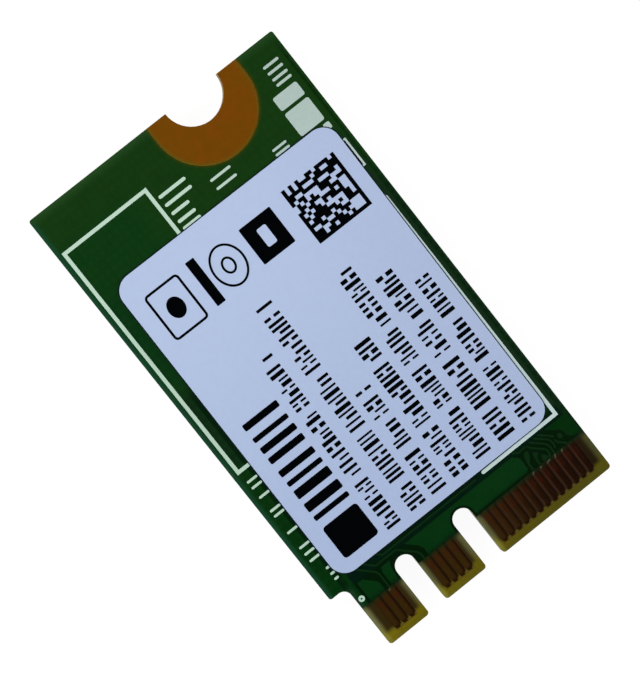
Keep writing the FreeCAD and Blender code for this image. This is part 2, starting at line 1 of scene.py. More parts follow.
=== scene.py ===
"""Looks of a narrow plug-in wireless card that lies label side up.

Places on the card are in millimetres: x from its left edge and y from its mounting end.
"""
import json
import math
import random

import bmesh
import bpy
from mathutils import Matrix, Vector


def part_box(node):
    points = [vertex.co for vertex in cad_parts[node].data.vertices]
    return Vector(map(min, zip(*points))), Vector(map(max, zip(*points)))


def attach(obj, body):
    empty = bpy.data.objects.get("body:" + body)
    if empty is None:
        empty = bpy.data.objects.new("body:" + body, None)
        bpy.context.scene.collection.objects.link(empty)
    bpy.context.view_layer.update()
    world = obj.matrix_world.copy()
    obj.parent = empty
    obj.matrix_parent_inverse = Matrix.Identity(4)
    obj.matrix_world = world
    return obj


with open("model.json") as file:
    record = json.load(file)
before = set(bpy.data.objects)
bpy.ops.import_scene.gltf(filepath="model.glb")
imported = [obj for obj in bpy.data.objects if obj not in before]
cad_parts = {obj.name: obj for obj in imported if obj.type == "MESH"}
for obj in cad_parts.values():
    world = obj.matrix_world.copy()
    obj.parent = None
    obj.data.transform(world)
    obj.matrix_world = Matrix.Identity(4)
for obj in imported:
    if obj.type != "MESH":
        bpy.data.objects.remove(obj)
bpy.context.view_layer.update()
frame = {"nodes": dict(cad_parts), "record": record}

MM = 0.001
CARD_WIDTH = 16.5
CARD_LENGTH = 30.0
LABEL_TURN = math.radians(-0.42)
SEED = 7

FIRST_CONTACT = 2.0
CONTACT_PITCH = 0.5
CONTACT_WIDTH = 0.35

MASK_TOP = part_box("label_side_mask")[1].z
FINGER_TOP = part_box("label_side_fingers")[1].z
LABEL_LOW, LABEL_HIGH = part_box("label_sheet")
LABEL_TOP = LABEL_HIGH.z
LABEL_MIDDLE = ((LABEL_LOW + LABEL_HIGH) / 2).to_2d()

# Heights of the thin layers.
COPPER_RELIEF = 0.012 * MM
INK_HEIGHT = 0.014 * MM
GLINT_HEIGHT = 0.007 * MM
GLUE_AND_SHADOW_HEIGHT = 0.0196 * MM
PRINT_HEIGHT = 0.004 * MM
WINDOW_HEIGHT = 0.002 * MM


# Outlines on the card.

STROKE_END_STEPS = 6


def card_x(x):
    """A place across the card, measured from the part's middle."""
    return x - CARD_WIDTH / 2


def card_y(y):
    """A place along the card, measured from the part's middle."""
    return CARD_LENGTH / 2 - y


def on_card(x, y):
    """A place on the card in the part's frame."""
    return Vector((card_x(x) * MM, card_y(y) * MM))


def arc(middle, radii, start, turn, steps):
    """Points along an arc, both ends included."""
    points = []
    for step in range(steps + 1):
        angle = start + turn * step / steps
        x = middle[0] + radii[0] * math.cos(angle)
        y = middle[1] + radii[1] * math.sin(angle)
        points.append(Vector((x, y)))
    return points


def oblong(x0, y0, x1, y1, radius, steps=3):
    """A rectangle with rounded corners."""
    loop = []
    for quarter, (x, y) in enumerate(((x1, y1), (x0, y1), (x0, y0), (x1, y0))):
        middle = (x - radius if x == x1 else x + radius, y - radius if y == y1 else y + radius)
        loop += arc(middle, (radius, radius), quarter * math.pi / 2, math.pi / 2, steps)
    return [loop]


def polygon(points):
    """A shape with straight sides."""
    return [[Vector(point) for point in points]]


def ellipse(middle, radii, steps):
    """The points of a closed oval."""
    return arc(middle, radii, 0, 2 * math.pi * (steps - 1) / steps, steps - 1)


def ellipse_ring(middle, radii, line, steps=48):
    """A closed ring of even line width."""
    inner = (radii[0] - line, radii[1] - line)
    return [ellipse(middle, radii, steps), ellipse(middle, inner, steps)]


def frame_ring(x0, y0, x1, y1, line, radius, steps=3):
    """The outline of a rounded rectangle, drawn with a line of even width."""
    outer = oblong(x0, y0, x1, y1, radius, steps)[0]
    inner = oblong(x0 + line, y0 + line, x1 - line, y1 - line, radius - line, steps)[0]
    return [outer, inner]


def stroke_end(tip, inward, half):
    """The half round at one end of a stroke."""
    ahead = tip - inward
    start = math.atan2(ahead.y, ahead.x) - math.pi / 2
    return arc(tip, (half, half), start, math.pi, STROKE_END_STEPS)


def stroke(points, width):
    """A line of even width through some points, with round ends."""
    path = [Vector(point) for point in points]
    half = width / 2
    left, right = [], []
    for number in range(1, len(path) - 1):
        before = (path[number] - path[number - 1]).normalized()
        after = (path[number + 1] - path[number]).normalized()
        along = (before + after).normalized()
        side = Vector((-along.y, along.x)) * (half / along.dot(after))
        left.append(path[number] + side)
        right.append(path[number] - side)
    end = stroke_end(path[-1], path[-2], half)
    start = stroke_end(path[0], path[1], half)
    return [right + end + left[::-1] + start]


# Thin closed pieces.


def add_prism(mesh, loops, low, high, turn):
    """Raise one outline, or a ring between two outlines of as many points, into a closed solid."""
    count = len(loops[0])
    levels = []
    for loop in loops:
        places = [turn @ on_card(*point).to_3d() for point in loop]
        levels.append([[mesh.verts.new((p.x, p.y, z)) for p in places] for z in (low, high)])
    walls = list(levels)
    if len(levels) == 1:
        for cap in levels[0]:
            mesh.faces.new(cap)
    else:
        walls += zip(*levels)
    for first, second in walls:
        for i in range(count):
            j = (i + 1) % count
            mesh.faces.new((first[i], first[j], second[j], second[i]))


def raised(name, shapes, low, height, finish, turn=Matrix()):
    """One piece made of flat shapes of the same height, fixed to the card."""
    mesh = bmesh.new()
    for loops in shapes:
        add_prism(mesh, loops, low, low + height, turn)
    bmesh.ops.recalc_face_normals(mesh, faces=mesh.faces)
    data = bpy.data.meshes.new(name)
    mesh.to_mesh(data)
    mesh.free()
    piece = bpy.data.objects.new(name, data)
    bpy.context.scene.collection.objects.link(piece)
    data.materials.append(finish)
    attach(piece, "root")


def label_turn():
    """The turn that sets print square on the askew label."""
    middle = Matrix.Translation(LABEL_MIDDLE.to_3d())
    return middle @ Matrix.Rotation(LABEL_TURN, 4, "Z") @ middle.inverted()


# Materials.

WEAVE_PITCH = 0.42
WEAVE_STRETCH = 1.15
COATING_GLOSS = 0.09
FINE_GRAIN = 0.08
ROUGHNESS_SPREAD = 0.08


def light_of(channel):
    """One channel of a screen colour, 0 to 255, as scene light."""
    share = channel / 255
    return share / 12.92 if share <= 0.04045 else ((share + 0.055) / 1.055) ** 2.4


def tone(red, green, blue):
    """A screen colour as scene light."""
    return light_of(red), light_of(green), light_of(blue)


class Finish:
    """A procedural material built node by node round one shader.

    Its places are in millimetres, and its colours are screen colours from 0 to 255.
    """

    def __init__(self, name):
        self.material = bpy.data.materials.new(name)
        self.material.use_nodes = True
        self.tree = self.material.node_tree
        self.shader = self.tree.nodes["Principled BSDF"]
        place = self.node("ShaderNodeTexCoord").outputs["Object"]
        scaled = self.node("ShaderNodeVectorMath", operation="SCALE")
        self.tree.links.new(place, scaled.inputs[0])
        scaled.inputs["Scale"].default_value = 1 / MM
        self.place = scaled.outputs[0]
        parts = self.node("ShaderNodeSeparateXYZ")
        self.tree.links.new(self.place, parts.inputs[0])
        self.x, self.y, self.z = parts.outputs

    def node(self, kind, **properties):
        """A new node with some of its properties set."""
        made = self.tree.nodes.new(kind)
        for name, value in properties.items():
            setattr(made, name, value)
        return made

    def feed(self, socket, value):
        """Link a socket to a node's output, or set it to a plain value."""
        if isinstance(value, bpy.types.NodeSocket):
            self.tree.links.new(value, socket)
        elif socket.type == "RGBA":
            socket.default_value = (*tone(*value), 1)
        else:
            socket.default_value = value

    def math(self, operation, first, second=0.0):
        """One operation on one or two numbers."""
        made = self.node("ShaderNodeMath", operation=operation)
        self.feed(made.inputs[0], first)
        self.feed(made.inputs[1], second)
        return made.outputs[0]

    def product(self, *factors):
        """Some factors multiplied."""
        made = factors[0]
        for factor in factors[1:]:
            made = self.math("MULTIPLY", made, factor)
        return made

    def span(self, value, low, high):
        """0 where the value is at low, 1 where it is at high, and smooth between."""
        made = self.node("ShaderNodeMapRange", interpolation_type="SMOOTHSTEP")
        self.feed(made.inputs["Value"], value)
        made.inputs["From Min"].default_value = low
        made.inputs["From Max"].default_value = high
        return made.outputs["Result"]

    def band(self, value, low, high, soft):
        """1 between low and high, fading to 0 outside."""
        rise = self.span(value, low - soft, low + soft)
        fall = self.span(value, high + soft, high - soft)
        return self.product(rise, fall)

    def rise_x(self, start, full):
        """0 at one place across the card, 1 at another, and smooth between."""
        return self.span(self.x, card_x(start), card_x(full))

    def rise_y(self, start, full):
        """0 at one place along the card, 1 at another, and smooth between."""
        return self.span(self.y, card_y(start), card_y(full))

    def across(self, first, last, soft):
        """1 between two places across the card, fading to 0 outside."""
        return self.band(self.x, card_x(first), card_x(last), soft)

    def along(self, first, last, soft):
        """1 between two places along the card, fading to 0 outside."""
        return self.band(self.y, card_y(last), card_y(first), soft)

    def stretches(self, groups, soft):
        """1 across each of some stretches of the card's width."""
        made = 0.0
        for first, last in groups:
            made = self.math("MAXIMUM", made, self.across(first, last, soft))
        return made

    def noise(self, size, detail=3.0, rough=0.55, stretch=(1, 1, 1)):
        """Soft random patches, from 0 to 1."""
        made = self.node("ShaderNodeTexNoise")
        mapped = self.node("ShaderNodeVectorMath", operation="MULTIPLY")
        self.tree.links.new(self.place, mapped.inputs[0])
        mapped.inputs[1].default_value = stretch
        self.tree.links.new(mapped.outputs[0], made.inputs["Vector"])
        made.inputs["Scale"].default_value = 1 / size
        made.inputs["Detail"].default_value = detail
        made.inputs["Roughness"].default_value = rough
        return made.outputs["Fac"]

    def ripple(self, value, pitch):
        """A wave along a value, from 0 to 1."""
        wave = self.math("SINE", self.product(value, 2 * math.pi / pitch))
        return self.product(self.math("ADD", wave, 1.0), 0.5)

    def weave(self):
        """The faint over-and-under of the glass cloth in a board."""
        crossing = self.ripple(self.x, WEAVE_PITCH)
        return self.product(crossing, self.ripple(self.y, WEAVE_PITCH * WEAVE_STRETCH))

    def blend(self, factor, first, second):
        """The first colour at 0, the second at 1."""
        made = self.node("ShaderNodeMix", data_type="RGBA", blend_type="MIX")
        sockets = {s.identifier: s for s in made.inputs}
        self.feed(sockets["Factor_Float"], factor)
        self.feed(sockets["A_Color"], first)
        self.feed(sockets["B_Color"], second)
        return next(s for s in made.outputs if s.identifier == "Result_Color")

    def tint(self, colour, second, amount, *factors):
        """Lay a second colour over the first, as far as an amount and all the factors say."""
        return self.blend(self.product(*factors, amount), colour, second)

    def spread(self, factor, low, high):
        """A number that runs from low to high with a factor."""
        made = self.node("ShaderNodeMapRange")
        self.feed(made.inputs["Value"], factor)
        made.inputs["To Min"].default_value = low
        made.inputs["To Max"].default_value = high
        return made.outputs["Result"]

    def mottle(self, colour, amount, size, **noise):
        """A colour made lighter and darker by soft patches."""
        level = self.spread(self.noise(size, **noise), 1 - amount, 1 + amount)
        made = self.node("ShaderNodeVectorMath", operation="SCALE")
        linked = isinstance(colour, bpy.types.NodeSocket)
        self.feed(made.inputs[0], colour if linked else tone(*colour))
        self.feed(made.inputs["Scale"], level)
        return made.outputs[0]

    def bump(self, height, depth):
        """Raise the surface by a height, as deep as a depth in millimetres."""
        made = self.node("ShaderNodeBump")
        made.inputs["Strength"].default_value = 1.0
        made.inputs["Distance"].default_value = depth * MM
        self.feed(made.inputs["Height"], height)
        self.feed(self.shader.inputs["Normal"], made.outputs["Normal"])

    def gloss(self, level, metallic=0.0):
        """The strength of the gloss, and how far the surface is metal."""
        self.shader.inputs["Specular IOR Level"].default_value = level
        self.shader.inputs["Metallic"].default_value = metallic

    def paint(self, colour, roughness):
        """Set the colour and roughness, and hand over the material."""
        self.feed(self.shader.inputs["Base Color"], colour)
        self.feed(self.shader.inputs["Roughness"], roughness)
        return self.material


def plain_finish(name, colour, amount, size, roughness, metallic=0.0, level=0.5, depth=0.0015):
    """A fine-grained finish with soft patches of tone."""
    made = Finish(name)
    made.bump(made.noise(FINE_GRAIN, detail=4), depth)
    made.gloss(level, metallic)
    smoothest, roughest = roughness - ROUGHNESS_SPREAD, roughness + ROUGHNESS_SPREAD
    return made.paint(
        made.mottle(colour, amount, size),
        made.spread(made.noise(size * 0.7), smoothest, roughest),
    )


# The land's outline is a half round below two straight sides. The reach of a place is its distance from
# the middle of the half round, or from the line midway between the sides.
LAND_MIDDLE_X = 11.0
LAND_MIDDLE_Y = 1.0
LAND_RIM = (2.82, 2.98)
LAND_HALO = (3.35, 2.95)
BARE_ROUND_LAND = (3.2, 3.1)
NOTCH_WALL = (1.8, 1.76)

# Heights close to the board's two faces.
LABEL_FACE = (2.05, 2.075)
COMPONENT_FACE = (1.31, 1.285)


def land_reach(made):
    """The reach of a place, as the land's outline measures it."""
    sideways = made.math("SUBTRACT", made.x, card_x(LAND_MIDDLE_X))
    down = made.math("MINIMUM", made.math("SUBTRACT", made.y, card_y(LAND_MIDDLE_Y)), 0.0)
    squares = made.math("ADD", made.product(sideways, sideways), made.product(down, down))
    return made.math("SQRT", squares)


def mask_left(made, colour):
    """Tones of the coating inside the frame of ink and along the left edge, with a painted shadow beside
    the label and a painted highlight along the edge.
    """
    box = made.product(made.rise_x(6.0, 4.5), made.rise_y(1.0, 3.0))
    colour = made.tint(colour, (12, 53, 15), 1.0, box, made.along(2, 12, 1.0))
    strip = made.rise_x(1.8, 1.0)
    colour = made.tint(colour, (8, 48, 17), 0.9, strip, made.along(6, 12, 1.5))
    colour = made.tint(colour, (13, 40, 17), 1.0, strip, made.along(12.4, 17.2, 0.5))
    # Painted shadow of the label's edge.
    label_edge_shadow = made.across(0.92, 1.3, 0.05)
    colour = made.tint(colour, (1, 27, 8), 0.85, label_edge_shadow, made.rise_y(12, 13.2))
    # Painted highlight along the card's left edge.
    edge = made.rise_x(0.36, 0.1)
    return made.tint(colour, (24, 69, 44), 0.8, edge)


def mask_right(made, colour):
    """Tones of the coating along the right edge, darker there as painted shade, with a dark groove and a
    painted shadow in the gap beside the label.
    """
    # Painted shade: darker along the right edge.
    strip = made.rise_x(15.7, 16.2)
    colour = made.tint(colour, (6, 32, 11), 1.0, strip, made.rise_y(8, 10.5))
    lighter = made.math("MAXIMUM", made.across(15.9, 16.19, 0.04), made.rise_x(16.38, 16.46))
    colour = made.tint(colour, (21, 44, 24), 0.85, lighter, made.along(6.8, 25.6, 0.8))
    # Painted shadow in the gap between the label and the ink.
    gap = made.across(15.7, 15.99, 0.02)
    colour = made.tint(colour, (2, 15, 18), 0.85, gap, made.along(6.95, 8.75, 0.1))
    groove = made.across(16.21, 16.36, 0.05)
    return made.tint(colour, (6, 35, 6), 0.85, groove, made.along(0.9, 10.5, 0.7))


def mask_finish():
    """Dark green coating, darker towards the tongue as painted shade, lighter at the mounting end, olive by
    the land, darkest round the tracks, with a painted highlight by the tongue's left shoulder.
    """
    made = Finish("solder_mask")
    # Darker towards the tongue: painted shade.
    colour = made.blend(made.rise_y(5, 25), (19, 54, 14), (3, 45, 9))
    colour = mask_left(made, colour)
    end = made.rise_y(0.75, 0.0)
    colour = made.tint(colour, (34, 68, 30), 1.0, end, end)
    halo = made.span(land_reach(made), *LAND_HALO)
    colour = made.tint(colour, (70, 60, 0), 1.0, halo, halo, halo)
    colour = mask_right(made, colour)
    trench = made.product(made.across(1.52, 16.15, 0.05), made.rise_y(25.25, 25.55))
    tongueward = made.rise_y(25.9, 26.4)
    colour = made.blend(trench, colour, made.blend(tongueward, (1, 25, 13), (1, 23, 3)))
    # Painted highlight on the coating's left shoulder by the tongue.
    shoulder_highlight = made.rise_x(1.42, 1.2)
    colour = made.tint(colour, (25, 60, 35), 0.75, shoulder_highlight, tongueward)
    cloth = made.weave()
    colour = made.blend(made.product(cloth, made.spread(trench, 0.12, 0.01)), colour, (30, 70, 34))
    made.bump(made.math("ADD", made.product(cloth, 0.5), made.noise(0.12, detail=4)), 0.002)
    made.gloss(COATING_GLOSS)
    return made.paint(
        made.mottle(colour, 0.16, 0.9, detail=5),
        made.spread(made.noise(0.6), 0.22, 0.34),
    )


# Where the groups of contacts start and end: both sides' contacts together, and the label side's own.
SHADE_GROUPS = ((1.32, 3.58), (5.19, 7.5), (9.23, 16.2))
LABEL_GROUPS = ((1.8, 3.3), (5.3, 7.3), (9.3, 15.8))

# Left edges of the tongue's three parts, which catch the light.
LIT_GROUPS = ((1.0, 1.3), (4.875, 5.175), (8.875, 9.175))


def contact_part(made):
    """How far across its pitch a place lies, from 0 at the left edge of a contact of the label side."""
    left_edge = card_x(FIRST_CONTACT - CONTACT_WIDTH / 2)
    pitches = made.math("DIVIDE", made.math("SUBTRACT", made.x, left_edge), CONTACT_PITCH)
    return made.math("FRACT", pitches)


def between_contacts(made, colour, zone):
    """The far side's contacts showing through, darker to the right as painted shade; painted shadow lines
    and painted highlights at the edges between the contacts of the label side; painted shadow at their
    tips, and tones round their tips.
    """
    # Darker to the right: painted shade.
    rightward_shade = made.rise_x(9, 15.5)
    shade = made.product(made.along(27.35, 29.33, 0.16), made.stretches(SHADE_GROUPS, 0.18))
    colour = made.blend(shade, colour, made.blend(rightward_shade, (47, 35, 7), (33, 22, 4)))
    part = contact_part(made)
    own = made.stretches(LABEL_GROUPS, 0.02)
    inside = made.product(zone, own)
    # Painted shadow: a dark line in the gap to the right of each contact.
    line = made.product(made.band(part, 0.7, 0.88, 0.05), inside)
    colour = made.blend(line, colour, made.blend(rightward_shade, (30, 10, 0), (22, 4, 0)))
    # Painted highlight on the lit left edge of each contact in the right group.
    bright = made.product(made.span(part, 0.9, 0.99), made.rise_x(8, 11))
    colour = made.tint(colour, (52, 31, 15), 1.0, bright, inside)
    colour = made.tint(colour, (72, 54, 22), 0.5, own, made.along(29.46, 29.58, 0.06))
    # Painted shadow round the contacts' rounded tips.
    tips = made.product(made.band(part, 0.1, 0.6, 0.1), made.along(29.38, 29.53, 0.03))
    colour = made.tint(colour, (40, 24, 2), 0.8, tips, own)
    scallop = made.product(made.band(part, 0.74, 0.98, 0.06), made.along(29.42, 29.52, 0.06))
    return made.tint(colour, (92, 74, 42), 0.6, scallop, own)


def laminate_finish():
    """Olive glass-cloth board. The far side's contacts show through it as a brown shade."""
    made = Finish("laminate")
    colour = made.blend(made.rise_x(1.5, 15), (103, 93, 5), (79, 74, 10))
    corner = made.product(made.rise_x(2.2, 1.3), made.rise_y(29.3, 29.6))
    colour = made.tint(colour, (124, 111, 14), 0.6, corner)
    lit = made.product(made.stretches(LIT_GROUPS, 0.12), made.rise_y(26.2, 27.0))
    colour = made.tint(colour, (131, 128, 50), 0.7, lit)
    zone = made.along(27.35, 29.42, 0.08)
    pale = made.blend(made.rise_x(1.2, 3.4), (108, 109, 72), (90, 90, 58))
    pale = made.blend(made.rise_x(12, 16), pale, (67, 69, 37))
    colour = made.tint(colour, pale, 0.9, zone, made.rise_y(29.55, 28.6))
    colour = between_contacts(made, colour, zone)
    near_coating = made.rise_y(27.8, 27.45)
    unlit = made.math("SUBTRACT", 0.9, made.product(lit, 0.5))
    colour = made.tint(colour, (19, 34, 15), 1.0, near_coating, unlit)
    reach = land_reach(made)
    faces = made.math("MAXIMUM", made.span(made.z, *LABEL_FACE), made.span(made.z, *COMPONENT_FACE))
    round_land = made.product(made.span(reach, *BARE_ROUND_LAND), faces)
    notch_wall = made.span(reach, *NOTCH_WALL)
    colour = made.blend(made.math("MAXIMUM", round_land, notch_wall), colour, (128, 102, 24))
    layers = made.ripple(made.z, 0.11)
    sides = made.product(layers, made.band(made.z, 1.42, 1.94, 0.08))
    colour = made.tint(colour, (126, 120, 66), 0.35, sides)
    texture = made.math("ADD", made.weave(), layers)
    made.bump(made.math("ADD", texture, made.noise(0.06)), 0.003)
    made.gloss(0.07)
    return made.paint(
        made.mottle(colour, 0.2, 0.5, detail=5),
        made.spread(made.noise(0.4), 0.34, 0.5),
    )


def finger_finish():
    """Dark plating with painted shade: darker to the right, on the right half and at the tip of each
    contact, and a painted highlight on its lit left edge.
    """
    made = Finish("finger_plating")
    # Darker to the right: painted shade.
    rightward_shade = made.rise_x(8, 14)
    colour = made.blend(rightward_shade, (58, 38, 8), (31, 11, 1))
    part = contact_part(made)
    # Painted highlight on each contact's lit left edge.
    lit = made.product(made.span(part, 0.26, 0.1), made.rise_x(8, 11))
    colour = made.tint(colour, (61, 39, 25), 0.9, lit)
    # Painted shade on the right half of each contact.
    dark = made.blend(rightward_shade, (42, 21, 1), (29, 10, 1))
    colour = made.tint(colour, dark, 0.75, made.span(part, 0.42, 0.68))
    wiped = made.noise(0.16, detail=4, stretch=(2.5, 0.35, 1))
    colour = made.tint(colour, (60, 38, 14), 0.4, made.span(wiped, 0.5, 0.75))
    ruddy = made.product(made.along(27.7, 28.3, 0.2), made.noise(0.5))
    colour = made.tint(colour, (66, 22, 12), 0.6, ruddy)
    # Painted shade at the rounded tips.
    tip = made.rise_y(29.22, 29.45)
    colour = made.tint(colour, (29, 9, 1), 0.75, tip)
    root = made.rise_y(27.8, 27.42)
    colour = made.tint(colour, (24, 40, 15), 0.85, root)
    made.bump(made.noise(0.05, stretch=(3, 0.5, 1)), 0.0012)
    made.gloss(COATING_GLOSS, 0.25)
    return made.paint(
        made.mottle(colour, 0.2, 0.35),
        made.spread(made.noise(0.2), 0.24, 0.36),
    )


def land_finish():
    """Orange-brown plating with a thin olive rim where the coating starts."""
    made = Finish("land_plating")
    rim = made.span(land_reach(made), *LAND_RIM)
    colour = made.blend(rim, (123, 73, 2), (108, 86, 17))
    patches = made.noise(0.8, detail=4)
    colour = made.blend(made.span(patches, 0.45, 0.75), colour, (131, 71, 4))
    made.bump(made.noise(0.07, detail=4), 0.0015)
    made.gloss(0.12, 0.25)
    return made.paint(
        made.mottle(colour, 0.08, 0.4),
        made.spread(made.noise(0.3), 0.28, 0.4),
    )


def paper_finish():
    """Pale blue-white label stock with a fine grain, darker towards the tongue and to the right as painted
    shade.
    """
    made = Finish("label_paper")
    # Darker towards the tongue and to the right: painted shade.
    colour = made.blend(made.rise_y(6, 26), (180, 196, 227), (169, 185, 218))
    colour = made.tint(colour, (168, 182, 214), 0.4, made.rise_x(9, 16))
    fibre = made.noise(0.1, detail=5, rough=0.65)
    made.bump(fibre, 0.002)
    made.gloss(0.2)
    return made.paint(
        made.mottle(colour, 0.035, 0.3, detail=5),
        made.spread(fibre, 0.62, 0.78),
    )


def white_ink_finish():
    """White ink on the coating, a little uneven in cover, greener at the left."""
    made = Finish("white_ink")
    down = made.rise_y(4, 10)
    left = made.blend(down, (188, 215, 196), (180, 208, 189))
    right = made.blend(down, (175, 194, 187), (192, 211, 210))
    colour = made.blend(made.rise_x(7, 13), left, right)
    cover = made.noise(0.09, detail=4)
    made.bump(cover, 0.002)
    made.gloss(0.03)
    return made.paint(
        made.mottle(colour, 0.07, 0.25, detail=5),
        made.spread(cover, 0.52, 0.68),
    )


def sheet_finish():
    """Matt tinned sheet with a faint rolling grain."""
    made = Finish("shield_metal")
    grain = made.noise(0.25, detail=5, stretch=(6, 0.4, 1))
    colour = made.blend(grain, (158, 158, 154), (186, 186, 181))
    made.bump(made.math("ADD", grain, made.noise(0.05)), 0.0015)
    made.gloss(0.5, 1.0)
    return made.paint(
        made.mottle(colour, 0.06, 1.5),
        made.spread(made.noise(0.7, detail=4), 0.34, 0.5),
    )


def field_finish():
    """Green coating over a whole field of copper, darker to the right and by the contacts."""
    made = Finish("coated_field")
    colour = made.blend(made.rise_x(12, 15.5), (5, 47, 14), (2, 41, 7))
    colour = made.tint(colour, (4, 29, 9), 0.6, made.rise_y(27.1, 27.42))
    made.bump(made.noise(0.12, detail=4), 0.002)
    made.gloss(COATING_GLOSS)
    return made.paint(
        made.mottle(colour, 0.14, 0.6, detail=5),
        made.spread(made.noise(0.6), 0.22, 0.34),
    )


def track_and_glint_finish(name, colour):
    """Coating where it runs over a track, or a pale painted highlight on a contact."""
    return plain_finish(name, colour, 0.16, 0.5, 0.3, level=COATING_GLOSS)


def dress_nodes():
    """Give every node of the frame the finish of its slot."""
    finishes = {
        "laminate": laminate_finish(),
        "solder_mask": mask_finish(),
        "finger_plating": finger_finish(),
        "land_plating": land_finish(),
        "label_paper": paper_finish(),
        "shield_metal": sheet_finish(),
        "socket_resin": plain_finish("socket_resin", (214, 209, 190), 0.05, 0.4, 0.55),
        "socket_gold": plain_finish("socket_gold", (222, 178, 92), 0.06, 0.3, 0.28, metallic=1.0),
        "chip_moulding": plain_finish("chip_moulding", (30, 30, 32), 0.2, 0.5, 0.62, depth=0.004),
        "solder_tin": plain_finish("solder_tin", (188, 188, 185), 0.07, 0.2, 0.35, metallic=1.0),
        "pale_ceramic": plain_finish("pale_ceramic", (196, 188, 170), 0.06, 0.3, 0.6),
        "dark_ceramic": plain_finish("dark_ceramic", (52, 52, 55), 0.12, 0.3, 0.5),
        "tan_ceramic": plain_finish("tan_ceramic", (150, 116, 78), 0.1, 0.3, 0.55),
    }
    for part in frame["record"]["subparts"]:
        data = frame["nodes"][part["node"]].data
        data.materials.clear()
        data.materials.append(finishes[part["material_slot"]])
    return finishes


# Tracks and fields of copper under the coating, by the tongue.

TRACK_WIDTH = 0.1
COATING_END = 27.42
TRACKS = (
    ((2.15, 25.62), (2.88, 26.35), (2.95, 26.55), (2.95, COATING_END)),
    ((2.62, 25.62), (3.08, 26.08), (4.45, 26.08), (5.3, 26.9), (5.4, 27.15), (5.4, COATING_END)),
    ((3.45, 25.55), (3.72, 25.85), (10.2, 25.85)),
    ((12.68, 26.0), (12.96, 26.17), (13.4, 26.15)),
    ((13.52, 26.18), (13.62, 26.36), (14.22, 26.92), (14.29, 27.1), (14.27, 27.28), (14.18, COATING_END)),
    ((13.76, 26.1), (14.38, 26.68), (14.49, 26.86), (14.52, 27.05), (14.49, COATING_END)),
    ((14.1, 26.1), (14.6, 26.54), (14.74, 26.74), (14.77, 26.95), (14.72, 27.2)),
    ((14.4, 26.1), (14.86, 26.5), (14.98, 26.66)),
    ((14.94, 26.86), (15.0, 27.06), (15.36, 27.4)),
)
# Wider patches of copper among the tracks at the right.
PATCHES = (
    [(13.1, 26.46), (13.24, 26.34), (13.42, 26.43), (13.28, 26.76), (13.09, 27.02), (13.08, COATING_END),
     (12.96, COATING_END), (12.97, 26.96), (13.02, 26.7)],
    [(13.5, 26.76), (13.6, 26.64), (13.8, 26.83), (13.63, 27.0), (13.55, 27.16), (13.55, COATING_END),
     (13.45, COATING_END), (13.45, 27.1)],
    [(13.76, 27.3), (13.84, 27.1), (13.95, 27.05), (14.09, 27.24), (14.12, 27.38), (13.82, COATING_END)],
    [(15.25, 26.68), (15.42, 26.72), (15.46, 26.9), (15.35, 27.05), (15.14, 26.88)],
)
# The long field leaves a rim free round the second key.
KEY_MIDDLE = (8.375, 27.1)
KEY_RIM = 0.74
FIELD_END = 27.3
FIELDS = (
    [(12.5, 26.13), (12.78, 26.38), (12.83, 26.52), (12.83, 27.17), (12.7, FIELD_END), (9.115, FIELD_END)]
    + arc(KEY_MIDDLE, (KEY_RIM, KEY_RIM), 0, -math.pi, 16)
    + [(7.635, COATING_END), (5.72, COATING_END), (5.72, 26.95), (5.6, 26.72), (5.02, 26.13)],
    [(1.7, 26.2), (2.05, 26.2), (2.62, 26.78), (2.68, 26.95), (2.68, COATING_END), (1.7, COATING_END)],
    [(3.25, 26.32), (3.85, 26.32), (3.68, 26.7), (3.62, COATING_END), (3.15, COATING_END), (3.15, 26.6)],
    [(14.83, 26.07), (16.36, 26.07), (16.38, 27.3), (16.05, 27.36), (15.8, 27.27), (15.63, 27.05),
     (15.6, 26.76), (15.47, 26.56), (15.2, 26.4)],
)
# Painted highlights: pale marks standing for glints where the coating ends on a contact.
GLINT_WIDTH = 0.08
PAINTED_GLINTS = (
    ((2.85, 27.59), (2.9, 27.54)),
    ((12.87, 27.6), (12.96, 27.51)),
    ((13.42, 27.57), (13.47, 27.54)),
    ((13.87, 27.6), (13.95, 27.56), (14.07, 27.53)),
    ((14.4, 27.63), (14.46, 27.49)),
    ((14.88, 27.59), (14.94, 27.52)),
)


def make_copper():
    """Raise the coating over the fields and tracks, and put pale painted highlights on the contacts."""
    fields = [polygon(field) for field in FIELDS]
    raised("coated_fields", fields, MASK_TOP, COPPER_RELIEF, field_finish())
    tracks = [stroke(track, TRACK_WIDTH) for track in TRACKS] + [polygon(patch) for patch in PATCHES]
    track_finish = track_and_glint_finish("coated_track", (10, 41, 14))
    raised("coated_tracks", tracks, MASK_TOP, COPPER_RELIEF, track_finish)
    glint_marks = [stroke(bead, GLINT_WIDTH) for bead in PAINTED_GLINTS]
    # Pale painted highlights on the contact tops.
    raised("contact_glints", glint_marks, FINGER_TOP, GLINT_HEIGHT, track_and_glint_finish("glint", (70, 73, 57)))


# White ink on the board: lines, a bracket, rows of plain bars, plain blocks and a ring.

INK_LINE = 0.21
LEFT_FRAME = ((5.895, 5.6), (5.895, 2.525), (0.41, 2.525), (0.41, 17.46), (1.3, 17.46))
RIGHT_CORNER = ((15.85, 10.8), (15.85, 25.78), (10.8, 25.78))
BRACKET_LINE = 0.11
BRACKET = ((15.93, 6.97), (16.025, 6.97), (16.025, 8.7), (15.93, 8.7))

